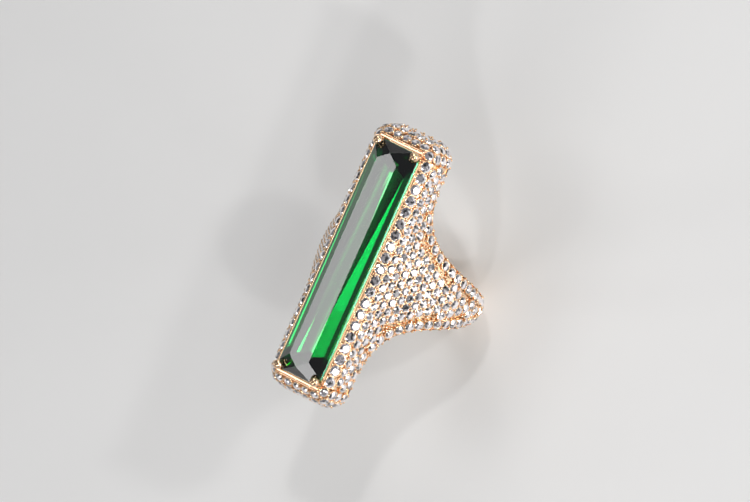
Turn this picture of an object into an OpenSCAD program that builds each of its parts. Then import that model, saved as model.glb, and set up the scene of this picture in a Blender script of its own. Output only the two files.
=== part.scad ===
// Cocktail ring: a long cut-corner stone set along the finger in a stone-set body
// that sweeps down into two shoulders and a plain polished shank.
// Origin: centre of the finger hole. +Y runs along the finger, +Z out through the stone's table.

/* [Finger hole and shank] */
// Radius of the finger hole
hole_r = 8.8; // [7.5:0.1:10.5]
// Thickness of the hoop that goes right round the finger
hoop_t = 0.9; // [0.7:0.05:1.4]
// Width of the hoop along the finger
shank_w = 3.1; // [2.4:0.1:4]
// How far the back of the shank falls away towards its edges
shank_crown = 0.55; // [0.2:0.05:0.8]
// Angle from the stone round to where each stone-set shoulder ends
shoulder_angle = 112; // [100:1:125]

/* [Centre stone] */
// Length of the centre stone along the finger
stone_l = 30.7; // [24:0.1:34]
// Width of the centre stone
stone_w = 6.2; // [5:0.1:8]
// Size of its cut corners
corner_cut = 0.9; // [0.5:0.05:1.4]
// Height of its girdle above the finger hole's centre
girdle_z = 15.3; // [14.6:0.1:17]
// Thickness of its girdle
girdle_t = 0.25; // [0.15:0.05:0.4]
// Height of its crown above the girdle
crown_h = 1.45; // [1:0.05:2]
// Depth of its pavilion below the girdle
pavilion_d = 3.5; // [2.5:0.1:4]
// Width of its table
table_w = 2.9; // [2:0.1:3.8]
// Distance from each end of the stone to the tip of the table
table_inset = 1.15; // [0.7:0.05:2]
// Length of the table's pointed ends
table_point = 1.1; // [0.5:0.05:2]

/* [Collet and claws] */
// Wall of the collet round the stone
collet_wall = 0.26; // [0.2:0.02:0.5]
// Extra wall of the collet past the stone's two ends
collet_end = 0.6; // [0.2:0.05:1]
// Height of the collet
collet_h = 3.6; // [2.5:0.1:4.2]
// Clearance between the stone and the metal that holds it
stone_gap = 0.04; // [0.02:0.01:0.1]
// Radius of each claw's post
claw_r = 0.45; // [0.35:0.05:0.6]
// Radius of each claw's rounded tip
claw_tip_r = 0.62; // [0.5:0.02:0.8]

/* [Stone-set body] */
// Thickness of the stone-set shell
shell_t = 1; // [0.8:0.05:1.4]
// Slope of the bevel beside the centre stone, below level
bevel_angle = 50; // [40:1:55]
// Length of that bevel
bevel_l = 1.4; // [1.3:0.05:1.8]
// Radius of the bend from the bevel to the side wall
bend_r = 1.5; // [1:0.1:2.5]
// Slope of the side wall at the two ends, below level
skirt_angle = 84; // [78:1:88]
// Length along the finger over which the sides flare out to the shoulders
flare_reach = 13; // [10:0.5:15]
// Distance from the middle at which the lower edge starts to sweep down
sweep_start = 12.5; // [10:0.5:14]
// Corner radius of the collet's outline, which the end caps follow
cap_corner = 0.9; // [0.6:0.1:1.6]

/* [Small stones] */
// Diameter of the stones in the straight row beside the centre stone
row_d = 1.42; // [1.2:0.02:1.5]
// Diameter of the stones that cover the rest of the body
pave_d = 1.16; // [1:0.02:1.3]
// Gap between neighbouring small stones
pave_gap = 0.07; // [0.05:0.01:0.2]
// Height of a small stone's girdle above the metal
pave_lift = 0.1; // [0.05:0.01:0.2]
// Clearance between a small stone and the metal under it
seat_gap = 0.03; // [0.01:0.01:0.04]

/* [Hidden] */

ROSE_GOLD = "#dba57c";
GREEN = "#0e8a4a";
CLEAR = "#e6dde2";
EPS = 0.01;
// Gap at a soldered joint, and the height of the collet's rim and the shells' edges under the girdle
SOLDER = 0.03;
RIM_DROP = 0.25;
EDGE_DROP = 0.1;
// Ledge under the girdle and the keel's distance from the stone's ends, as shares of the stone's width
LEDGE = 0.14;
KEEL_INSET = 0.55;
// Height of the claws' tips as a share of the crown, and their lean as shares of the claws' radius
CLAW_RISE = 0.36;
CLAW_OUT = 0.55;
CLAW_LEAN = 0.35;

// Collet outline
collet_x = stone_w / 2 + stone_gap + collet_wall;
collet_y = stone_l / 2 + stone_gap + collet_end;
collet_top = girdle_z - girdle_t / 2 - RIM_DROP;
straight_y = collet_y - cap_corner;
end_x = collet_x - cap_corner;

// Profile of the body, from its top edge beside the collet
body_r = hole_r + hoop_t + shell_t;
lining_r = hole_r + hoop_t + SOLDER;
edge = [collet_x, collet_top - EDGE_DROP];
knee = edge + bevel_l * [cos(bevel_angle), -sin(bevel_angle)];
flare_angle = atan2(knee.x, knee.y) + acos(body_r / norm(knee));
flare_l = sqrt(knee * knee - body_r * body_r);
bend_l = bend_r * (skirt_angle - bevel_angle) * PI / 180;
bend_end = knee + bend_r * [sin(skirt_angle) - sin(bevel_angle), cos(skirt_angle) - cos(bevel_angle)];

// Rows of small stones, as distances down the profile
ROW_MARGIN = 0.06;
STONE_GAP = 0.02;
HEM_LIP = 0.2;
pave_pitch = pave_d + pave_gap;
row_step = pave_pitch * sqrt(3) / 2;
row_t = row_d / 2 + ROW_MARGIN;
pave_t = row_t + (row_d + pave_d) / 2 + STONE_GAP;
hem_margin = pave_d / 2 + HEM_LIP;
skirt_l = pave_t + 2 * row_step + hem_margin;
tip_l = bevel_l + flare_l + body_r * (shoulder_angle - flare_angle) * PI / 180;

// Proportions of a round-cut small stone, as shares of its radius
CUT_PAVILION = 0.86;
CUT_GIRDLE = 0.08;
CUT_CROWN = 0.3;
CUT_TABLE = 0.56;

// Profile at the two ends, and at the middle where it runs into the shoulders
function bend_angle(t) = bevel_angle + (t - bevel_l) / bend_r * 180 / PI;
function end_profile(t) =
    t <= bevel_l ? edge + t * [cos(bevel_angle), -sin(bevel_angle)]
    : t <= bevel_l + bend_l
        ? knee + bend_r * [sin(bend_angle(t)) - sin(bevel_angle), cos(bend_angle(t)) - cos(bevel_angle)]
    : bend_end + (t - bevel_l - bend_l) * [cos(skirt_angle), -sin(skirt_angle)];
function hoop_angle(t) = flare_angle + (t - bevel_l - flare_l) / body_r * 180 / PI;
function middle_profile(t) =
    t <= bevel_l ? edge + t * [cos(bevel_angle), -sin(bevel_angle)]
    : t <= bevel_l + flare_l ? knee + (t - bevel_l) * [cos(flare_angle), -sin(flare_angle)]
    : body_r * [sin(hoop_angle(t)), cos(hoop_angle(t))];

function smooth(u) = let (v = min(1, max(0, u))) v * v * (3 - 2 * v);
function flare(y) = 1 - smooth((abs(y) - shank_w / 2) / (flare_reach - shank_w / 2));
// How far the shoulder is crowned, rising to the shank's own crown where it meets it
function crown_drop(y, t) =
    shank_crown * smooth((t - bevel_l - flare_l / 2) / (tip_l - bevel_l - flare_l / 2))
    * pow(min(1, abs(y) / (shank_w / 2)), 2);
// A point on the right-hand side of the body: y along the finger, t down the profile
function side_point(y, t) =
    let (
        w = flare(y),
        p = (1 - w) * end_profile(t) + w * middle_profile(t),
        q = p * (1 - crown_drop(y, t) / norm(p))
    ) [q.x, y, q.y];
function unit(v) = v / norm(v);
function side_normal(y, t) =
    let (h = 0.05)
    unit(cross(side_point(y, t + h) - side_point(y, t - h), side_point(y + h, t) - side_point(y - h, t)));

// A point on the upper end cap: s along its own row from the right-hand corner
function cap_row_l(t) = PI * (cap_corner + end_profile(t).x - edge.x) + 2 * end_x;
function cap_point(s, t) =
    let (
        p = end_profile(t), r = cap_corner + p.x - edge.x, arc = r * PI / 2,
        a = s < arc ? s / arc * 90 : s < arc + 2 * end_x ? 90 : min(180, (s - 2 * end_x) / arc * 90),
        c = s < arc ? end_x : s < arc + 2 * end_x ? end_x - (s - arc) : -end_x
    ) [c + r * cos(a), straight_y + r * sin(a), p.y];
function cap_normal(s, t) =
    let (
        h = 0.01, p = end_profile(t), d = unit(end_profile(t + h) - end_profile(t - h)),
        r = cap_corner + p.x - edge.x, arc = r * PI / 2,
        a = s < arc ? s / arc * 90 : s < arc + 2 * end_x ? 90 : min(180, (s - 2 * end_x) / arc * 90)
    ) [-d.y * cos(a), -d.y * sin(a), d.x];

// Lower edge of the side, swept from the skirt down to the shank: [y, t]
HEM_STEPS = 48;
hem_points = [
    [sweep_start, skirt_l], [sweep_start * 0.4, skirt_l + 0.05],
    [shank_w * 1.3, skirt_l + (tip_l - skirt_l) / 3], [shank_w / 2, tip_l]
];
function bezier(p, s) =
    pow(1 - s, 3) * p[0] + 3 * s * pow(1 - s, 2) * p[1] + 3 * s * s * (1 - s) * p[2] + pow(s, 3) * p[3];
hem = [for (i = [0 : HEM_STEPS]) bezier(hem_points, i / HEM_STEPS)];
hem_legs = [for (i = [0 : HEM_STEPS]) i == 0 ? 0 : norm(hem[i] - hem[i - 1])];
hem_run = [for (i = 0, l = 0; i <= HEM_STEPS; i = i + 1, l = l + (i > HEM_STEPS ? 0 : hem_legs[i])) l];
hem_t_at = [for (i = [HEM_STEPS : -1 : 0]) [hem[i].x, hem[i].y]];
hem_s_at = [for (i = [0 : HEM_STEPS]) [hem_run[i], i / HEM_STEPS]];
function hem_t(y) = abs(y) >= sweep_start ? skirt_l : lookup(abs(y), hem_t_at);

// Stones along the swept edge, then a honeycomb over what is left
function hem_inside(s) =
    let (
        h = 0.01,
        a = bezier(hem_points, min(1, s + h)) - bezier(hem_points, max(0, s - h)),
        n = unit([a.y, -a.x])
    )
    bezier(hem_points, s) - hem_margin * [abs(n.x), abs(n.y)];
hem_stone_n = floor((hem_run[HEM_STEPS] - hem_margin) / pave_pitch);
hem_stones = [
    for (i = [0 : hem_stone_n], side = [-1, 1])
        let (p = hem_inside(lookup(i * pave_pitch, hem_s_at)))
        if (p.y > pave_t + 2.3 * row_step && p.y < tip_l - hem_margin && p.x > pave_pitch / 2)
            [side * p.x, p.y]
];
row_n = floor(2 * straight_y / (row_d + pave_gap));
row_pitch = 2 * straight_y / row_n;
row_stones = [for (i = [0 : row_n - 1]) [(i + 0.5 - row_n / 2) * row_pitch, row_t]];
function nearest(p, list) = min([for (q = list) norm(p - q)]);
pave_rows = ceil((tip_l - pave_t) / row_step);
pave_cols = floor(straight_y / pave_pitch);
col_pitch = straight_y / pave_cols;
side_lattice = [
    for (k = [0 : pave_rows], i = [-pave_cols : pave_cols])
        let (p = [(i + (k % 2) / 2) * col_pitch, pave_t + k * row_step])
        if (abs(p.x) < straight_y - pave_d / 2 - EPS
            && p.y < hem_t(p.x) - hem_margin + EPS && p.y < tip_l - hem_margin
            && nearest([abs(p.x), p.y], hem) > hem_margin - EPS
            && nearest(p, hem_stones) > pave_d + STONE_GAP) p
];
side_stones = concat(hem_stones, side_lattice);
function cap_count(t) = floor((cap_row_l(t) - pave_gap) / pave_pitch);
CAP_ROWS = 4;
cap_row_step = (skirt_l - pave_d / 2 - ROW_MARGIN - row_t) / (CAP_ROWS - 1);
cap_stones = [
    for (k = [0 : CAP_ROWS - 1])
        let (t = row_t + k * cap_row_step, n = cap_count(t))
        for (i = [0 : n - 1]) [(i + 0.5) * cap_row_l(t) / n, t]
];

// Lays a module's child out along a normal at a point
module stand_on(p, n) {
    translate(p) rotate([0, acos(n.z), atan2(n.y, n.x)]) children();
}

// A round-cut stone from the metal's face up: the tip of its pavilion, sunk in the metal, is left off
module small_stone(d) {
    r = d / 2;
    foot = r - pave_lift / CUT_PAVILION;
    rotate_extrude($fn = 24)
        polygon([[0, -pave_lift], [foot, -pave_lift], [r, 0], [r, CUT_GIRDLE * r],
            [CUT_TABLE * r, (CUT_GIRDLE + CUT_CROWN) * r], [0, (CUT_GIRDLE + CUT_CROWN) * r]]);
}

// A closed shell between two grids of points that match row for row
module shell(outer, inner) {
    rows = len(outer);
    cols = len(outer[0]);
    n = rows * cols;
    points = [for (g = [outer, inner], r = g, p = r) p];
    function id(r, c, g) = g * n + r * cols + c;
    function quad(a, b, c, d) = [[a, c, b], [a, d, c]];
    faces = [
        for (r = [0 : rows - 2], c = [0 : cols - 2])
            each concat(
                quad(id(r, c, 0), id(r, c + 1, 0), id(r + 1, c + 1, 0), id(r + 1, c, 0)),
                quad(id(r, c, 1), id(r + 1, c, 1), id(r + 1, c + 1, 1), id(r, c + 1, 1))),
        for (c = [0 : cols - 2])
            each concat(
                quad(id(0, c, 0), id(0, c, 1), id(0, c + 1, 1), id(0, c + 1, 0)),
                quad(id(rows - 1, c, 0), id(rows - 1, c + 1, 0),
                    id(rows - 1, c + 1, 1), id(rows - 1, c, 1))),
        for (r = [0 : rows - 2])
            each concat(
                quad(id(r, 0, 0), id(r + 1, 0, 0), id(r + 1, 0, 1), id(r, 0, 1)),
                quad(id(r, cols - 1, 0), id(r, cols - 1, 1), id(r + 1, cols - 1, 1), id(r + 1, cols - 1, 0)))
    ];
    polyhedron(points, faces, convexity = 8);
}

// The shell touches the collet along its top edge only, and its back leans off by the solder's width
function back_off(t) = t > 0 ? SOLDER : 0;
BEND_STEPS = 4;
WALL_STEPS = 14;
SWEEP_STEPS = 16;
function stations(l) = concat(
    [0, bevel_l / 2],
    [for (i = [0 : BEND_STEPS]) bevel_l + bend_l * i / BEND_STEPS],
    [for (i = [1 : WALL_STEPS]) bevel_l + bend_l + (l - bevel_l - bend_l) * i / WALL_STEPS]);
sweep_y = [for (i = [0 : SWEEP_STEPS]) hem[round(HEM_STEPS * i / SWEEP_STEPS)].x];
half_y = concat([straight_y], sweep_y);
side_y = concat([for (y = half_y) -y], [0], [for (i = [len(half_y) - 1 : -1 : 0]) half_y[i]]);

// The shell's inner face, kept clear of the hoop
function inner_point(y, t) =
    let (
        n = side_normal(y, max(EPS, t)),
        q = side_point(y, t) - shell_t * unit([n.x, 0, n.z]),
        r = norm([q.x, q.z])
    ) r < lining_r ? [q.x * lining_r / r, y, q.z * lining_r / r] : q;

module side_shell() {
    outer = [for (y = side_y) [for (t = stations(hem_t(y))) side_point(y, t)]];
    inner = [
        for (y = side_y) [
            for (t = stations(hem_t(y)))
                let (q = inner_point(y, t)) [max(edge.x + back_off(t), q.x), y, q.z]
        ]
    ];
    shell(outer, inner);
}

CORNER_STEPS = 8;
module cap_shell() {
    shares = concat(
        [for (i = [0 : CORNER_STEPS]) [1, i / CORNER_STEPS]],
        [for (i = [0 : CORNER_STEPS]) [-1, 1 - i / CORNER_STEPS]]);
    levels = stations(skirt_l);
    function ring_point(side, a, off, z) =
        [side * (end_x + (cap_corner + off) * cos(a)), straight_y + (cap_corner + off) * sin(a), z];
    function off(t) = end_profile(t).x - edge.x;
    outer = [for (s = shares) [for (t = levels) ring_point(s[0], 90 * s[1], off(t), end_profile(t).y)]];
    inner = [
        for (s = shares) [
            for (t = levels)
                let (n = cap_normal(0, max(EPS, t)))
                ring_point(s[0], 90 * s[1], max(back_off(t), off(t) - shell_t * n.x),
                    end_profile(t).y - shell_t * n.z)
        ]
    ];
    shell(outer, inner);
}

module side_set(list, d) {
    for (p = list)
        let (n = side_normal(p.x, p.y))
        stand_on(side_point(p.x, p.y) + (pave_lift + seat_gap) * n, n) small_stone(d);
}

// Outline of the stone's girdle, grown by g
function girdle_ring(g) =
    let (x = stone_w / 2 + g, y = stone_l / 2 + g, c = corner_cut + g * (2 - sqrt(2)))
    [
        [x, y - c], [x - c, y], [c - x, y], [-x, y - c],
        [-x, c - y], [c - x, -y], [x - c, -y], [x, c - y]
    ];
module girdle_outline(g) { polygon(girdle_ring(g)); }

// The stone's facets, grown by g: crown with a long pointed table, girdle, and a keeled pavilion
module cut_stone(g) {
    tx = table_w / 2 + g;
    ty = stone_l / 2 - table_inset + g;
    top = girdle_z + crown_h + g;
    low = girdle_z - girdle_t / 2 - g;
    high = girdle_z + girdle_t / 2 + g;
    keel = girdle_z - pavilion_d - g;
    keel_y = stone_l / 2 - stone_w * KEEL_INSET;
    ring = girdle_ring(g);
    table = [[tx, ty - table_point], [0, ty], [-tx, ty - table_point],
        [-tx, table_point - ty], [0, -ty], [tx, table_point - ty]];
    hull() {
        polyhedron(
            concat([for (p = ring) [p.x, p.y, low]], [for (p = ring) [p.x, p.y, high]],
                [for (p = table) [p.x, p.y, top]], [[0, keel_y, keel], [0, -keel_y, keel]]),
            [[for (i = [0 : 7]) i], [for (i = [8 : 15]) i], [for (i = [16 : 21]) i], [22, 23, 0]]);
    }
}

module collet_outline(x, y, r) {
    union() {
        square([2 * x, 2 * (y - r)], center = true);
        square([2 * (x - r), 2 * y], center = true);
        for (sx = [-1, 1], sy = [-1, 1]) translate([sx * (x - r), sy * (y - r)]) circle(r, $fn = 32);
    }
}

claw_x = stone_w / 2 - corner_cut / 2 + claw_r * CLAW_OUT;
claw_y = stone_l / 2 - corner_cut / 2 + claw_r * CLAW_OUT;
claw_top = girdle_z + crown_h * CLAW_RISE;

module claw_post() {
    translate([claw_x, claw_y, collet_top - collet_h])
        cylinder(h = claw_top - collet_top + collet_h, r = claw_r, $fn = 32);
}

module claw() {
    difference() {
        union() {
            claw_post();
            translate([claw_x - claw_r * CLAW_LEAN, claw_y - claw_r * CLAW_LEAN, claw_top])
                sphere(claw_tip_r, $fn = 32);
        }
        cut_stone(stone_gap / 4);
    }
}

module shank() {
    color(ROSE_GOLD)
    rotate([90, 0, 0]) {
        difference() {
            cylinder(h = shank_w, r = hole_r + hoop_t, center = true, $fn = 128);
            cylinder(h = shank_w + 1, r = hole_r, center = true, $fn = 128);
        }
        start = shoulder_angle + SOLDER / body_r * 180 / PI;
        rotate([0, 0, start - 270]) rotate_extrude(angle = 360 - 2 * start, $fn = 128) back_profile();
    }
}

// Crowned section of the thick back of the shank
module back_profile() {
    r = (pow(shank_w / 2, 2) + pow(shank_crown, 2)) / (2 * shank_crown);
    intersection() {
        translate([hole_r + hoop_t / 2, -shank_w / 2]) square([shell_t + hoop_t / 2, shank_w]);
        translate([body_r - r, 0]) circle(r, $fn = 96);
    }
}

module collet() {
    color(ROSE_GOLD)
    difference() {
        translate([0, 0, collet_top - collet_h])
            linear_extrude(collet_h) collet_outline(collet_x, collet_y, cap_corner);
        translate([0, 0, collet_top - collet_h - 1])
            linear_extrude(collet_h + 2) offset(delta = -stone_w * LEDGE) girdle_outline(0);
        cut_stone(stone_gap);
        translate([0, 0, girdle_z - girdle_t / 2]) linear_extrude(crown_h) girdle_outline(stone_gap);
        for (sx = [0, 1], sy = [0, 1]) mirror([sx, 0, 0]) mirror([0, sy, 0]) claw_post();
    }
}

module shell_right() { color(ROSE_GOLD) side_shell(); }
module shell_left() { color(ROSE_GOLD) mirror([1, 0, 0]) side_shell(); }
module cap_upper() { color(ROSE_GOLD) cap_shell(); }
module cap_lower() { color(ROSE_GOLD) mirror([0, 1, 0]) cap_shell(); }
module claw_upper_right() { color(ROSE_GOLD) claw(); }
module claw_upper_left() { color(ROSE_GOLD) mirror([1, 0, 0]) claw(); }
module claw_lower_right() { color(ROSE_GOLD) mirror([0, 1, 0]) claw(); }
module claw_lower_left() { color(ROSE_GOLD) mirror([1, 0, 0]) mirror([0, 1, 0]) claw(); }
module centre_stone() { color(GREEN) cut_stone(0); }
module row_stones_right() { color(CLEAR) side_set(row_stones, row_d); }
module row_stones_left() { color(CLEAR) mirror([1, 0, 0]) side_set(row_stones, row_d); }
module side_stones_right() { color(CLEAR) side_set(side_stones, pave_d); }
module side_stones_left() { color(CLEAR) mirror([1, 0, 0]) side_set(side_stones, pave_d); }
module cap_set() {
    for (p = cap_stones)
        let (n = cap_normal(p.x, p.y))
        stand_on(cap_point(p.x, p.y) + (pave_lift + seat_gap) * n, n) small_stone(pave_d);
}
module cap_stones_upper() { color(CLEAR) cap_set(); }
module cap_stones_lower() { color(CLEAR) mirror([0, 1, 0]) cap_set(); }

shank();
collet();
shell_right();
shell_left();
cap_upper();
cap_lower();
claw_upper_right();
claw_upper_left();
claw_lower_right();
claw_lower_left();
centre_stone();
row_stones_right();
row_stones_left();
side_stones_right();
side_stones_left();
cap_stones_upper();
cap_stones_lower();
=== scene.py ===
"""Cocktail ring: a long green stone in a rose-gold body covered in small clear stones."""

import math

import bmesh
import bpy
from mathutils import Matrix, Vector
from mathutils.kdtree import KDTree


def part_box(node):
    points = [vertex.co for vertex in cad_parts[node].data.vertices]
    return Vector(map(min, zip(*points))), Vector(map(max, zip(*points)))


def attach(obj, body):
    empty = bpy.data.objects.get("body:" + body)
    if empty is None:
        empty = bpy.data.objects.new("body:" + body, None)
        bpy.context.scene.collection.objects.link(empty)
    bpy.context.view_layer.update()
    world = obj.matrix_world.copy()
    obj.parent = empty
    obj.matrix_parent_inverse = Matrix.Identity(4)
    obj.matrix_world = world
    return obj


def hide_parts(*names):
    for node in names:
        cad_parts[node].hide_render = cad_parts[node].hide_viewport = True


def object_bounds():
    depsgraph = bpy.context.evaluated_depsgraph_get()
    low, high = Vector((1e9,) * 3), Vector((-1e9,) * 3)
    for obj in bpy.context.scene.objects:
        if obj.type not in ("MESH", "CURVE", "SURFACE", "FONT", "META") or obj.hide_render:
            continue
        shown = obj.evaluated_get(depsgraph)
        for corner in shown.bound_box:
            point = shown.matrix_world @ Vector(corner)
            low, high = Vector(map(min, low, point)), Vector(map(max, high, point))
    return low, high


bl_info = {
    "name": "Cocktail Ring",
    "version": (1, 0, 0),
    "blender": (4, 5, 0),
    "location": "View3D > Sidebar > Ring",
    "description": "Stones, settings and finishes of a pave cocktail ring",
    "category": "Object",
}

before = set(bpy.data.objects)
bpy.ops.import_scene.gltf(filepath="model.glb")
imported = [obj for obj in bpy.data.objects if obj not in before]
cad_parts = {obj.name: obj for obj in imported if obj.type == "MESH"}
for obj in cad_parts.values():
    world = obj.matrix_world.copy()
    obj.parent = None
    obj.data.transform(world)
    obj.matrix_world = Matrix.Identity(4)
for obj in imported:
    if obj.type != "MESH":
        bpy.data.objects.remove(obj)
CAD_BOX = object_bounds()
MM = 0.001
WELD = 0.002 * MM

SHELLS = ("shell_right", "shell_left", "cap_upper", "cap_lower")
VIEW_FROM = Vector((0.449, 0.078, 0.89))
VIEW_UP = Vector((-0.395, 0.911, 0.12))
SPARKS = ((0.55, -0.75, 0.70), (0.80, 0.60, 0.75), (0.15, 0.55, 1.0), (0.9, -0.3, 0.9))
STONE_SETS = {
    "shell_right": ("row_stones_right", "side_stones_right"),
    "shell_left": ("row_stones_left", "side_stones_left"),
    "cap_upper": ("cap_stones_upper",),
    "cap_lower": ("cap_stones_lower",),
}
POLISHED = (
    "shank",
    "collet",
    "claw_upper_right",
    "claw_upper_left",
    "claw_lower_right",
    "claw_lower_left",
)


# ---------------------------------------------------------------- settings


class RingFinish(bpy.types.PropertyGroup):
    """Colours of the metal and the stones."""

    gold: bpy.props.FloatVectorProperty(
        name="Rose gold", description="Colour of the polished metal",
        subtype="COLOR", size=3, min=0, max=1, default=(0.97, 0.68, 0.44),
    )
    green: bpy.props.FloatVectorProperty(
        name="Centre stone", description="Colour of light that crosses the centre stone",
        subtype="COLOR", size=3, min=0, max=1, default=(0.0, 0.87, 0.66),
    )
    green_depth: bpy.props.FloatProperty(
        name="Centre stone depth",
        description="How fast the centre stone absorbs light, per metre",
        min=0, max=4000, default=700,
    )
    foil: bpy.props.FloatVectorProperty(
        name="Foil", description="Colour of the foil behind the centre stone",
        subtype="COLOR", size=3, min=0, max=1, default=(0.28, 0.85, 0.62),
    )
    clear: bpy.props.FloatVectorProperty(
        name="Small stones", description="Tint of the small clear stones",
        subtype="COLOR", size=3, min=0, max=1, default=(0.98, 0.96, 1.0),
    )
    scratches: bpy.props.FloatProperty(
        name="Fine scratches", description="Strength of the wear in the polish",
        min=0, max=1, default=0.35,
    )


class RingCut(bpy.types.PropertyGroup):
    """Sizes of the settings and of the stones' facets."""

    bead: bpy.props.FloatProperty(
        name="Bead radius", description="Radius of the beads that hold the small stones",
        subtype="DISTANCE", unit="LENGTH", min=0.05 * MM, max=0.4 * MM, default=0.19 * MM,
    )
    border: bpy.props.FloatProperty(
        name="Border width", description="Width of the polished lip round the stone-set faces",
        subtype="DISTANCE", unit="LENGTH", min=0.02 * MM, max=0.4 * MM, default=0.10 * MM,
    )
    bed: bpy.props.FloatProperty(
        name="Bed depth", description="Depth of the metal between the stones' settings",
        subtype="DISTANCE", unit="LENGTH", min=0.05 * MM, max=0.8 * MM, default=0.16 * MM,
    )
    table: bpy.props.FloatProperty(
        name="Table", description="Width of a small stone's table, as a share of its diameter",
        min=0.4, max=0.7, default=0.56,
    )
    stone_depth: bpy.props.FloatProperty(
        name="Pavilion depth", description="Depth of the centre stone under its girdle",
        subtype="DISTANCE", unit="LENGTH", min=2 * MM, max=5 * MM, default=3.4 * MM,
    )
    upper_facet: bpy.props.FloatProperty(
        name="Upper break", description="Half width of the stone at its first lower break",
        min=0.6, max=0.95, default=0.78,
    )
    lower_facet: bpy.props.FloatProperty(
        name="Lower break", description="Half width of the stone at its second lower break",
        min=0.3, max=0.7, default=0.44,
    )
    crossing: bpy.props.FloatProperty(
        name="Crossing", description="How far the lower breaks run out of parallel",
        min=0, max=0.1, default=0.05,
    )
    grain: bpy.props.FloatProperty(
        name="Grain radius", description="Radius of the fine grains round the collet",
        subtype="DISTANCE", unit="LENGTH", min=0.05 * MM, max=0.3 * MM, default=0.13 * MM,
    )


class RingStage(bpy.types.PropertyGroup):
    """Camera and light."""

    distance: bpy.props.FloatProperty(
        name="Camera distance", description="Distance from the camera to the ring",
        subtype="DISTANCE", unit="LENGTH", min=0.2, max=3, default=0.9,
    )
    view_width: bpy.props.FloatProperty(
        name="View width", description="Width that the camera sees at the ring",
        subtype="DISTANCE", unit="LENGTH", min=30 * MM, max=500 * MM, default=92.6 * MM,
    )
    aim_right: bpy.props.FloatProperty(
        name="Aim right", description="How far right of the finger hole's centre the camera aims",
        subtype="DISTANCE", unit="LENGTH", min=-50 * MM, max=50 * MM, default=-3.444 * MM,
    )
    aim_up: bpy.props.FloatProperty(
        name="Aim up", description="How far above the finger hole's centre the camera aims",
        subtype="DISTANCE", unit="LENGTH", min=-50 * MM, max=50 * MM, default=3.086 * MM,
    )
    key: bpy.props.FloatProperty(
        name="Softbox",
        description="Brightness of the softbox that the centre stone's table mirrors",
        min=0, max=20, default=3.2,
    )
    fill: bpy.props.FloatProperty(
        name="Fill", description="Brightness of the side softboxes",
        min=0, max=40, default=8.0,
    )
    spark: bpy.props.FloatProperty(
        name="Sparkle", description="Brightness of the small lights that make the stones glint",
        min=0, max=400, default=110.0,
    )


# ---------------------------------------------------------------- shader maths


class Sock:
    """A shader socket that takes part in Python expressions; each operator adds a Math node."""

    def __init__(self, nodes, socket):
        self.nodes = nodes
        self.socket = socket

    def math(self, operation, other, swap=False):
        pair = [other, self] if swap else [self, other]
        return self.nodes.add("ShaderNodeMath", {"operation": operation}, pair)

    def __add__(self, other):
        return self.math("ADD", other)

    def __radd__(self, other):
        return self.math("ADD", other, swap=True)

    def __mul__(self, other):
        return self.math("MULTIPLY", other)

    def __rmul__(self, other):
        return self.math("MULTIPLY", other, swap=True)


class NodeSet:
    """A new material's nodes, with one method that adds any of them."""

    def __init__(self, name):
        self.material = bpy.data.materials.new("finish_" + name)
        self.material.use_nodes = True
        self.tree = self.material.node_tree
        self.tree.nodes.clear()

    def add(self, kind, settings=None, values=(), output=0):
        """Adds a node: settings first, then values to its sockets in order or by name."""
        node = self.tree.nodes.new(kind)
        for key, value in (settings or {}).items():
            if key == "stops":
                ramp = node.color_ramp
                ramp.elements[0].position, ramp.elements[0].color = value[0]
                ramp.elements[1].position, ramp.elements[1].color = value[-1]
                for place, colour in value[1:-1]:
                    ramp.elements.new(place).color = colour
            else:
                setattr(node, key, value)
        pairs = values.items() if isinstance(values, dict) else enumerate(values)
        for key, value in pairs:
            if isinstance(value, Sock):
                self.tree.links.new(value.socket, node.inputs[key])
            else:
                node.inputs[key].default_value = value
        return Sock(self, node.outputs[output])

    def place(self, scale=(1, 1, 1)):
        """Object coordinates, stretched."""
        where = self.add("ShaderNodeTexCoord", output=3)
        return self.add("ShaderNodeMapping", {}, {"Vector": where, "Scale": scale})

    def noise(self, scale, detail=3.0, stretch=(1, 1, 1)):
        return self.add(
            "ShaderNodeTexNoise", {},
            {"Vector": self.place(stretch), "Scale": scale, "Detail": detail, "Roughness": 0.55},
        )

    def finish(self, surface, volume=None):
        out = self.tree.nodes.new("ShaderNodeOutputMaterial")
        self.tree.links.new(surface.socket, out.inputs["Surface"])
        if volume:
            self.tree.links.new(volume.socket, out.inputs["Volume"])
        return self.material


def shade(colour, share):
    """A colour made darker, with its alpha."""
    return (*[c * share for c in colour], 1.0)


def gold_material(name, finish, rough, bump):
    """Rose gold: broad colour drift, hairline scratches and a little orange peel."""
    n = NodeSet(name)
    drift = n.noise(260, 2)
    hairs = n.noise(900, 4, stretch=(1, 0.12, 1))
    specks = n.noise(5200, 2)
    colour = n.add(
        "ShaderNodeMix", {"data_type": "RGBA"},
        {0: drift, 6: shade(finish.gold, 0.90), 7: shade(finish.gold, 1.0)}, output=2,
    )
    roughness = rough + finish.scratches * 0.16 * hairs * specks
    height = finish.scratches * hairs + 0.4 * specks
    normal = n.add(
        "ShaderNodeBump", {}, {"Strength": bump, "Distance": 0.00002, "Height": height},
    )
    surface = n.add(
        "ShaderNodeBsdfPrincipled", {},
        {"Base Color": colour, "Metallic": 1.0, "Roughness": roughness, "Normal": normal},
    )
    return n.finish(surface)


def green_material(finish):
    """The centre stone: a clear surface over green depth, with faint polishing lines."""
    n = NodeSet("green_stone")
    lines = n.noise(700, 3, stretch=(1, 0.05, 1))
    surface = n.add(
        "ShaderNodeBsdfPrincipled", {},
        {
            "Base Color": (0.80, 1.0, 0.86, 1.0), "Roughness": 0.004 + 0.012 * lines,
            "IOR": 1.95, "Transmission Weight": 1.0,
        },
    )
    depth = n.add(
        "ShaderNodeVolumeAbsorption", {},
        {"Color": (*finish.green, 1.0), "Density": finish.green_depth},
    )
    return n.finish(surface, depth)


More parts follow.
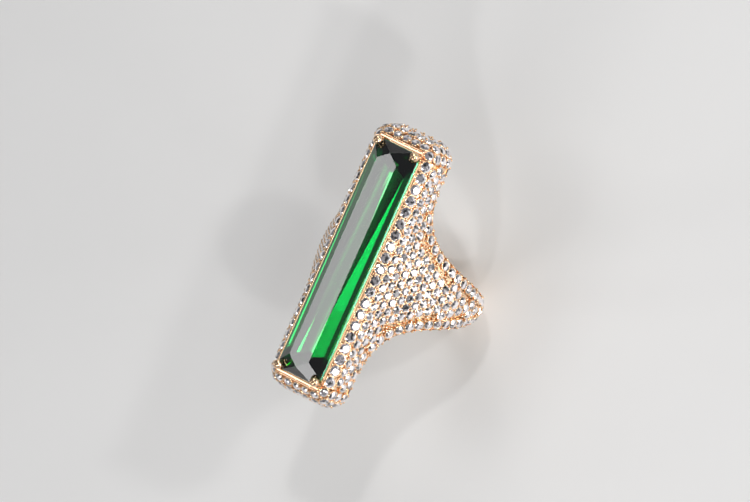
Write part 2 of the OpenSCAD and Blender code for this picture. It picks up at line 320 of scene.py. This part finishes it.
def clear_material(finish):
    """The small stones: mirror-bright facets, with dark and bright flecks painted into their
    colour as painted sparkle, in place of the reflections their facets would show.
    """
    n = NodeSet("clear_stone")
    # painted sparkle: noise flecks ramped from near black to white stand in for the facets' dark
    # and bright reflections
    sparkle_flecks = n.noise(2300, 1)
    drift = n.noise(420, 2)
    painted_sparkle = n.add(
        "ShaderNodeValToRGB",
        {"stops": (
            (0.38, shade(finish.clear, 0.10)),
            (0.45, shade(finish.clear, 0.70)),
            (0.52, shade(finish.clear, 1.0)),
        )},
        {0: sparkle_flecks},
    )
    tint = n.add(
        "ShaderNodeMix", {"data_type": "RGBA", "blend_type": "MULTIPLY"},
        {0: drift, 6: painted_sparkle, 7: shade((1.0, 0.90, 0.86), 1.0)}, output=2,
    )
    surface = n.add(
        "ShaderNodeBsdfPrincipled", {},
        {
            "Base Color": tint, "Metallic": 0.85, "Roughness": 0.03 + 0.05 * drift,
            "IOR": 2.1, "Coat Weight": 1.0, "Coat Roughness": 0.0, "Coat IOR": 1.9,
        },
    )
    return n.finish(surface)


def foil_material(finish):
    """The foil behind the centre stone: green mirror, a little crumpled."""
    n = NodeSet("green_foil")
    creases = n.noise(300, 3, stretch=(1, 0.15, 1))
    normal = n.add(
        "ShaderNodeBump", {}, {"Strength": 0.05, "Distance": 0.00002, "Height": creases},
    )
    surface = n.add(
        "ShaderNodeBsdfPrincipled", {},
        {
            "Base Color": (*finish.foil, 1.0), "Metallic": 1.0,
            "Roughness": 0.12 + 0.15 * creases, "Normal": normal,
        },
    )
    return n.finish(surface)


def floor_material():
    """Matt pale floor with a faint drift."""
    n = NodeSet("pale_floor")
    grain = n.noise(60, 4)
    colour = n.add(
        "ShaderNodeMix", {"data_type": "RGBA"},
        {0: grain, 6: (0.80, 0.79, 0.78, 1), 7: (0.83, 0.82, 0.81, 1)}, output=2,
    )
    return n.finish(n.add(
        "ShaderNodeBsdfPrincipled", {}, {"Base Color": colour, "Roughness": 0.55},
    ))


def material(name):
    """The named finish, made the first time it is asked for."""
    finish = bpy.context.scene.ring_finish
    label = "finish_" + name
    if label not in bpy.data.materials:
        if name == "rose_gold_polished":
            gold_material(name, finish, rough=0.09, bump=0.10)
        elif name == "rose_gold_pave":
            gold_material(name, finish, rough=0.13, bump=0.22)
        elif name == "green_stone":
            green_material(finish)
        elif name == "clear_stone":
            clear_material(finish)
        elif name == "green_foil":
            foil_material(finish)
        else:
            floor_material()
    return bpy.data.materials[label]


# ---------------------------------------------------------------- helpers


def add_piece(name, bm, slot, smooth=False, replaces=(), finish=None):
    """Turns a bmesh into a finished piece of the ring."""
    mesh = bpy.data.meshes.new(name)
    bm.to_mesh(mesh)
    bm.free()
    mesh.polygons.foreach_set("use_smooth", [smooth] * len(mesh.polygons))
    piece = bpy.data.objects.new(name, mesh)
    bpy.context.scene.collection.objects.link(piece)
    mesh.materials.append(material(finish or slot))
    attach(piece, "root")
    if replaces:
        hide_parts(*replaces)
    return piece


MEASURED = {}
GIRDLE_LIFT = 0.1 * MM  # from a small stone's foot to its girdle
BEAD_RISE = 0.08 * MM
TOUCHING = 2.9  # radii between the middles of stones that share a bead
SMALL_STONE = 0.62 * MM
FOIL_GAP = 0.015 * MM
FOIL_SHEET = 0.04 * MM


def outward(point):
    """Roughly away from the ring's body at a point, to tell a stone's top from its foot."""
    reach = 8 * MM
    return point - Vector((0, max(-reach, min(reach, point.y)), 6 * MM))


def settings_of(node):
    """Place, axis and radius of each small stone in a CAD node, measured once a run."""
    if node not in MEASURED:
        MEASURED[node] = measure_stones(node)
    return MEASURED[node]


def measure_stones(node):
    """Splits a CAD node into its separate solids and measures each."""
    bm = bmesh.new()
    bm.from_mesh(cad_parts[node].data)
    bmesh.ops.remove_doubles(bm, verts=bm.verts, dist=WELD)
    found = []
    seen = set()
    for first in bm.verts:
        if first in seen:
            continue
        seen.add(first)
        solid = [first]
        for v in solid:
            joined = [e.other_vert(v) for e in v.link_edges]
            fresh = [w for w in joined if w not in seen]
            seen.update(fresh)
            solid.extend(fresh)
        found.append(measure_stone(solid))
    bm.free()
    return sorted(found, key=lambda s: tuple(round(c / MM, 2) for c in s[0]))


def measure_stone(verts):
    """A stone's foot is its one widest flat face, so that face gives the axis and the level."""
    faces = dict.fromkeys(f for v in verts for f in v.link_faces)
    sums = {}
    for f in faces:
        key = tuple(round(c, 1) for c in f.normal)
        sums.setdefault(key, Vector())
        sums[key] += f.normal * f.calc_area()
    axis = max(sums.values(), key=lambda s: s.length).normalized()
    centre = sum((v.co for v in verts), Vector()) / len(verts)
    if axis.dot(outward(centre)) < 0:
        axis = -axis
    foot = min((v.co - centre).dot(axis) for v in verts)
    radius = max((v.co - centre).cross(axis).length for v in verts)
    return centre + axis * (foot + GIRDLE_LIFT), axis, radius


def stand(point, axis, turn):
    """The matrix that stands something modelled at the origin on a point of the body."""
    return (
        Matrix.Translation(point)
        @ axis.to_track_quat("Z", "Y").to_matrix().to_4x4()
        @ Matrix.Rotation(turn, 4, "Z")
    )


def tree_of(points):
    """A search tree over points, to find the nearest ones."""
    tree = KDTree(len(points))
    for i, point in enumerate(points):
        tree.insert(point, i)
    tree.balance()
    return tree


def copy_into(bm, shape, matrix):
    """Adds a copy of a small shape to a piece."""
    start = len(bm.verts)
    bm.from_mesh(shape)
    bm.verts.ensure_lookup_table()
    for v in bm.verts[start:]:
        v.co = matrix @ v.co


def to_shape(bm, name):
    """Keeps a small shape to be copied many times."""
    shape = bpy.data.meshes.new(name)
    bm.to_mesh(shape)
    bm.free()
    return shape


# ---------------------------------------------------------------- shapes


def brilliant(table):
    """A round brilliant of radius 1 with its girdle at height 0, as the hull of its corners."""
    crown, pavilion, girdle = 0.32, -0.86, 0.03
    bm = bmesh.new()

    def ring(count, radius, height, turn=0.0):
        for i in range(count):
            a = 2 * math.pi * (i + turn) / count
            bm.verts.new((radius * math.cos(a), radius * math.sin(a), height))

    ring(8, table, crown)
    ring(8, 0.80, crown * 0.58, turn=0.5)
    ring(16, 1.0, girdle)
    ring(16, 1.0, -girdle)
    ring(8, 0.44, pavilion * 0.60, turn=0.5)
    bm.verts.new((0, 0, pavilion))
    bmesh.ops.convex_hull(bm, input=bm.verts)
    bmesh.ops.dissolve_limit(bm, angle_limit=math.radians(1), verts=bm.verts, edges=bm.edges)
    bmesh.ops.recalc_face_normals(bm, faces=bm.faces)
    return to_shape(bm, "brilliant")


def ball():
    """A little sphere of radius 1, for beads and grains."""
    bm = bmesh.new()
    bmesh.ops.create_uvsphere(bm, u_segments=8, v_segments=6, radius=1)
    return to_shape(bm, "ball")


def collar(depth):
    """The metal rim round a small stone's hole, for a stone of radius 1: a spun strip."""
    profile = ((0.84, -depth), (0.955, -0.05), (1.06, 0.05), (1.20, -0.04), (1.26, -depth))
    bm = bmesh.new()
    verts = [bm.verts.new((x, 0, z)) for x, z in profile]
    edges = [bm.edges.new(pair) for pair in zip(verts, verts[1:])]
    bmesh.ops.spin(
        bm, geom=verts + edges, cent=(0, 0, 0), axis=(0, 0, 1), dvec=(0, 0, 0),
        angle=2 * math.pi, steps=12, use_merge=True, use_normal_flip=False, use_duplicate=False,
    )
    bmesh.ops.remove_doubles(bm, verts=bm.verts, dist=1e-5)
    bmesh.ops.holes_fill(bm, edges=[e for e in bm.edges if e.is_boundary], sides=0)
    bmesh.ops.recalc_face_normals(bm, faces=bm.faces)
    return to_shape(bm, "collar")


def bead_places(stones):
    """Beads stand where three stones meet, and outside each pair on the border."""
    tree = tree_of([point for point, _axis, _r in stones])
    near = []
    for i, (point, _axis, r) in enumerate(stones):
        reach = TOUCHING * max(r, SMALL_STONE)
        near.append({j for _co, j, _d in tree.find_range(point, reach) if j != i})
    places, held = [], {}
    for i in range(len(stones)):
        for j in (j for j in near[i] if j > i):
            for k in (k for k in near[i] & near[j] if k > j):
                trio = [stones[m] for m in (i, j, k)]
                middle = sum((s[0] for s in trio), Vector()) / 3
                gap = min((middle - s[0]).length - s[2] for s in trio)
                if gap > 0.02 * MM:
                    places.append((middle, sum((s[1] for s in trio), Vector()).normalized()))
                for pair, third in (((i, j), k), ((j, k), i), ((i, k), j)):
                    held.setdefault(pair, []).append(third)
    for (i, j), thirds in held.items():
        if len(thirds) == 1:
            mid = (stones[i][0] + stones[j][0]) / 2
            away = (mid - stones[thirds[0]][0]).normalized()
            if (stones[i][0] - stones[j][0]).length < 2.5 * stones[i][2]:
                axis = (stones[i][1] + stones[j][1]).normalized()
                away = (away - axis * away.dot(axis)).normalized()
                places.append((mid + away * stones[i][2] * 0.62, axis))
    return places


def beads(places, radius):
    """One bead at each place, leaving out any that would sit in another."""
    bm = bmesh.new()
    shape = ball()
    taken = tree_of([point for point, _axis in places])
    for i, (point, axis) in enumerate(places):
        if any(j < i and d < radius * 1.2 for _co, j, d in taken.find_range(point, radius * 2)):
            continue
        matrix = stand(point + axis * BEAD_RISE, axis, 0.7 * i)
        copy_into(bm, shape, matrix @ Matrix.Scale(radius, 4))
    bpy.data.meshes.remove(shape)
    return bm


def merged_copy(node):
    """A CAD node's mesh with its loose triangles joined."""
    bm = bmesh.new()
    bm.from_mesh(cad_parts[node].data)
    bmesh.ops.remove_doubles(bm, verts=bm.verts, dist=WELD)
    bmesh.ops.dissolve_degenerate(bm, edges=bm.edges, dist=0.001 * MM)
    return bm


def stone_side(bm, stones):
    """The faces of a shell that carry its stones."""
    tree = tree_of([point for point, _axis, _r in stones])
    lowest, highest = -0.7 * MM, 0.5 * MM
    kept = []
    for f in bm.faces:
        middle = f.calc_center_median()
        _co, i, _d = tree.find(middle)
        point, axis, _r = stones[i]
        if f.normal.dot(axis) > 0.6 and lowest < (middle - point).dot(axis) < highest:
            kept.append(f)
    return kept


def gap_places(faces, stones, places, radius):
    """More beads wherever the metal between the stones is still bare."""
    spacing = radius * 2.0
    clear = [(p, r + radius * 0.75) for p, _axis, r in stones]
    clear += [(p, spacing) for p, _axis in places]
    tree = tree_of([point for point, _reach in clear])
    found = []
    for f in faces:
        middle = f.calc_center_median()
        if any(d < clear[i][1] for _co, i, d in tree.find_range(middle, 0.9 * MM)):
            continue
        if all((middle - p).length > spacing for p, _axis in found):
            found.append((middle, f.normal.copy()))
    return places + found


def sink(bm, faces, border, depth):
    """Sinks the stone-set faces inside a polished lip."""
    bmesh.ops.inset_region(
        bm, faces=faces, thickness=border, depth=0.0, use_boundary=True, use_even_offset=True,
    )
    normals = {v: v.normal.copy() for f in faces for v in f.verts}
    for v, normal in normals.items():
        v.co -= normal * depth
    return bm


# ---------------------------------------------------------------- operators


class RING_OT_small_stones(bpy.types.Operator):
    """Cuts the small clear stones in their CAD places"""

    bl_idname = "ring.small_stones"
    bl_label = "Small stones"

    def execute(self, context):
        cut = brilliant(context.scene.ring_cut.table)
        for nodes in STONE_SETS.values():
            for node in nodes:
                bm = bmesh.new()
                for i, (point, axis, radius) in enumerate(settings_of(node)):
                    # turned and tipped a little differently, so that no two glint alike
                    turn = 2.399 * i
                    tilt = Matrix.Rotation(math.radians(4) * math.sin(5.1 * i), 4, "X")
                    matrix = stand(point, axis, turn) @ tilt @ Matrix.Scale(radius, 4)
                    copy_into(bm, cut, matrix)
                add_piece(node + "_cut", bm, "clear_stone", replaces=(node,))
        bpy.data.meshes.remove(cut)
        return {"FINISHED"}


class RING_OT_settings(bpy.types.Operator):
    """Drills the stone-set shells and raises their collars and beads"""

    bl_idname = "ring.settings"
    bl_label = "Settings"

    def execute(self, context):
        cut = context.scene.ring_cut
        for shell in SHELLS:
            stones = [s for node in STONE_SETS[shell] for s in settings_of(node)]
            bm = merged_copy(shell)
            faces = stone_side(bm, stones)
            places = gap_places(faces, stones, bead_places(stones), cut.bead)
            add_piece(shell + "_bed", sink(bm, faces, cut.border, cut.bed),
                      "rose_gold_pave", replaces=(shell,))
            rim = collar(0.62)
            bm = bmesh.new()
            for i, (point, axis, radius) in enumerate(stones):
                copy_into(bm, rim, stand(point, axis, 0.4 * i) @ Matrix.Scale(radius, 4))
            add_piece(shell + "_collars", bm, "rose_gold_pave", smooth=True)
            bpy.data.meshes.remove(rim)
            add_piece(shell + "_beads", beads(places, cut.bead),
                      "rose_gold_polished", smooth=True)
        return {"FINISHED"}


class RING_OT_centre_stone(bpy.types.Operator):
    """Cuts the long centre stone with crossed lower facets, and lays the foil behind it"""

    bl_idname = "ring.centre_stone"
    bl_label = "Centre stone"

    def execute(self, context):
        cut = context.scene.ring_cut
        bm = merged_copy("centre_stone")
        low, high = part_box("centre_stone")
        half_w = (high.x - low.x) / 2
        half_l = (high.y - low.y) / 2
        depth = cut.stone_depth
        for side in (-1, 1):
            for end in (-1, 1):
                for share, width in ((0.34, cut.upper_facet), (0.68, cut.lower_facet)):
                    width += side * end * cut.crossing
                    reach = half_l * (1 - 0.25 * share)
                    bm.verts.new((
                        side * half_w * width, end * reach, low.z + depth * (1 - share),
                    ))
        bmesh.ops.delete(bm, geom=bm.faces[:], context="FACES_ONLY")
        bmesh.ops.convex_hull(bm, input=bm.verts)
        bmesh.ops.dissolve_limit(
            bm, angle_limit=math.radians(0.5), verts=bm.verts, edges=bm.edges,
        )
        bmesh.ops.recalc_face_normals(bm, faces=bm.faces)
        foil = bm.copy()
        add_piece("centre_stone_cut", bm, "green_stone", replaces=("centre_stone",))

        shown = [f for f in foil.faces if f.normal.z > -0.2]
        bmesh.ops.delete(foil, geom=shown, context="FACES")
        normals = {v: v.normal.copy() for v in foil.verts}
        for v, normal in normals.items():
            v.co += normal * FOIL_GAP
        bmesh.ops.solidify(foil, geom=foil.faces[:], thickness=-FOIL_SHEET)
        bmesh.ops.recalc_face_normals(foil, faces=foil.faces)
        add_piece("centre_stone_foil", foil, "green_stone", finish="green_foil")
        return {"FINISHED"}


class RING_OT_milgrain(bpy.types.Operator):
    """Runs a row of fine grains along the rim of the centre stone's collet"""

    bl_idname = "ring.milgrain"
    bl_label = "Milgrain"

    def execute(self, context):
        grain = context.scene.ring_cut.grain
        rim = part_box("collet")[1]
        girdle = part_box("centre_stone")[1]
        step = grain * 1.9
        side_x = (girdle.x + rim.x) / 2
        rows = [((x, rim.y), (x, -rim.y)) for x in (side_x, -side_x)]
        for y in (girdle.y + grain * 1.4, rim.y - grain):
            rows += [((rim.x - grain, v), (grain - rim.x, v)) for v in (y, -y)]
        bm = bmesh.new()
        shape = ball()
        for start, end in rows:
            self.row(bm, shape, Vector((*start, rim.z)), Vector((*end, rim.z)), step, grain)
        bead = context.scene.ring_cut.bead * 0.85
        for x in (rim.x + bead * 0.7, -rim.x - bead * 0.7):
            start = Vector((x, rim.y - 0.9 * MM, rim.z - bead * 0.8))
            self.row(bm, shape, start, Vector((x, -start.y, start.z)), bead * 2.4, bead)
        bpy.data.meshes.remove(shape)
        add_piece("collet_milgrain", bm, "rose_gold_polished", smooth=True)
        return {"FINISHED"}

    def row(self, bm, shape, start, end, step, radius):
        count = int((end - start).length / step)
        for i in range(count):
            place = Matrix.Translation(start.lerp(end, (i + 0.5) / count))
            copy_into(bm, shape, place @ Matrix.Scale(radius, 4))


class RING_OT_polish(bpy.types.Operator):
    """Polishes the shank, the collet and the claws"""

    bl_idname = "ring.polish"
    bl_label = "Polished metal"

    def execute(self, context):
        for node in POLISHED:
            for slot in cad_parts[node].material_slots:
                slot.material = material("rose_gold_polished")
        return {"FINISHED"}


def aim(obj, place, target):
    obj.location = place
    obj.rotation_euler = (target - place).to_track_quat("-Z", "Y").to_euler()


def softbox(name, direction, distance, size, radiance, target):
    """A rectangular area light turned to the ring, of a given brightness, that no view shows."""
    data = bpy.data.lights.new(name, "AREA")
    data.shape = "RECTANGLE"
    data.size, data.size_y = size
    data.energy = radiance * math.pi * size[0] * size[1]
    light = bpy.data.objects.new(name, data)
    light.visible_camera = False
    bpy.context.scene.collection.objects.link(light)
    aim(light, target + Vector(direction).normalized() * distance, target)


class RING_OT_stage(bpy.types.Operator):
    """Lays the pale floor and sets up the softboxes and the camera"""

    bl_idname = "ring.stage"
    bl_label = "Stage"

    def execute(self, context):
        scene = context.scene
        stage = scene.ring_stage
        middle = (CAD_BOX[0] + CAD_BOX[1]) / 2
        bm = bmesh.new()
        bmesh.ops.create_grid(
            bm, x_segments=1, y_segments=1, size=1.5,
            matrix=Matrix.Translation((0, 0, CAD_BOX[0].z - 0.01 * MM)),
        )
        mesh = bpy.data.meshes.new("floor")
        bm.to_mesh(mesh)
        bm.free()
        mesh.materials.append(material("pale_floor"))
        floor = bpy.data.objects.new("floor", mesh)
        scene.collection.objects.link(floor)

        mirrored = (-VIEW_FROM.x, -VIEW_FROM.y, VIEW_FROM.z)
        softbox("table_softbox", mirrored, 0.50, (0.15, 0.15), stage.key, middle)
        softbox("front_softbox", (0.05, -0.85, 0.70), 0.50, (0.26, 0.12), stage.key * 1.2, middle)
        softbox("right_softbox", (0.95, 0.12, 0.16), 0.45, (0.32, 0.12), stage.fill, middle)
        softbox("crown_softbox", (0.60, 0.10, 0.80), 0.50, (0.20, 0.07), stage.fill * 0.6, middle)
        softbox("back_strip", (-0.20, 0.95, 0.50), 0.45, (0.25, 0.06), stage.fill, middle)
        softbox("left_strip", (-0.85, -0.50, 0.30), 0.45, (0.05, 0.20), stage.fill * 0.5, middle)
        for i, direction in enumerate(SPARKS):
            softbox(f"spark_{i}", direction, 0.50, (0.030, 0.030), stage.spark, middle)

        world = bpy.data.worlds.new("studio")
        world.use_nodes = True
        world.node_tree.nodes["Background"].inputs[0].default_value = (0.92, 0.95, 1.0, 1)
        world.node_tree.nodes["Background"].inputs[1].default_value = 0.15
        scene.world = world
        scene.view_settings.view_transform = "Standard"

        towards = VIEW_FROM.normalized()
        up = (VIEW_UP - towards * VIEW_UP.dot(towards)).normalized()
        right = up.cross(towards)
        data = bpy.data.cameras.new("camera")
        camera = bpy.data.objects.new("camera", data)
        scene.collection.objects.link(camera)
        data.lens = data.sensor_width * stage.distance / stage.view_width
        data.clip_start, data.clip_end = 0.05, 10
        centre = right * stage.aim_right + up * stage.aim_up
        turned = Matrix((right, up, towards)).transposed().to_4x4()
        turned.translation = centre + towards * stage.distance
        camera.matrix_world = turned
        scene.camera = camera
        return {"FINISHED"}


class RING_PT_panel(bpy.types.Panel):
    """The ring's steps, in the order they are run"""

    bl_idname = "RING_PT_panel"
    bl_label = "Cocktail Ring"
    bl_space_type = "VIEW_3D"
    bl_region_type = "UI"
    bl_category = "Ring"

    def draw(self, context):
        layout = self.layout
        for group in ("ring_finish", "ring_cut", "ring_stage"):
            box = layout.box()
            settings = getattr(context.scene, group)
            for key in settings.__annotations__:
                box.prop(settings, key)
        for step in STEPS:
            layout.operator(step.bl_idname)


GROUPS = {"ring_finish": RingFinish, "ring_cut": RingCut, "ring_stage": RingStage}
STEPS = (
    RING_OT_stage,
    RING_OT_polish,
    RING_OT_settings,
    RING_OT_small_stones,
    RING_OT_centre_stone,
    RING_OT_milgrain,
)


def register():
    for cls in (*GROUPS.values(), *STEPS, RING_PT_panel):
        bpy.utils.register_class(cls)
    for name, cls in GROUPS.items():
        setattr(bpy.types.Scene, name, bpy.props.PointerProperty(type=cls))


def unregister():
    for name in GROUPS:
        delattr(bpy.types.Scene, name)
    for cls in (RING_PT_panel, *reversed(STEPS), *GROUPS.values()):
        bpy.utils.unregister_class(cls)


def main():
    register()
    for step in STEPS:
        group, name = step.bl_idname.split(".")
        getattr(getattr(bpy.ops, group), name)()


if __name__ == "__main__":
    main()
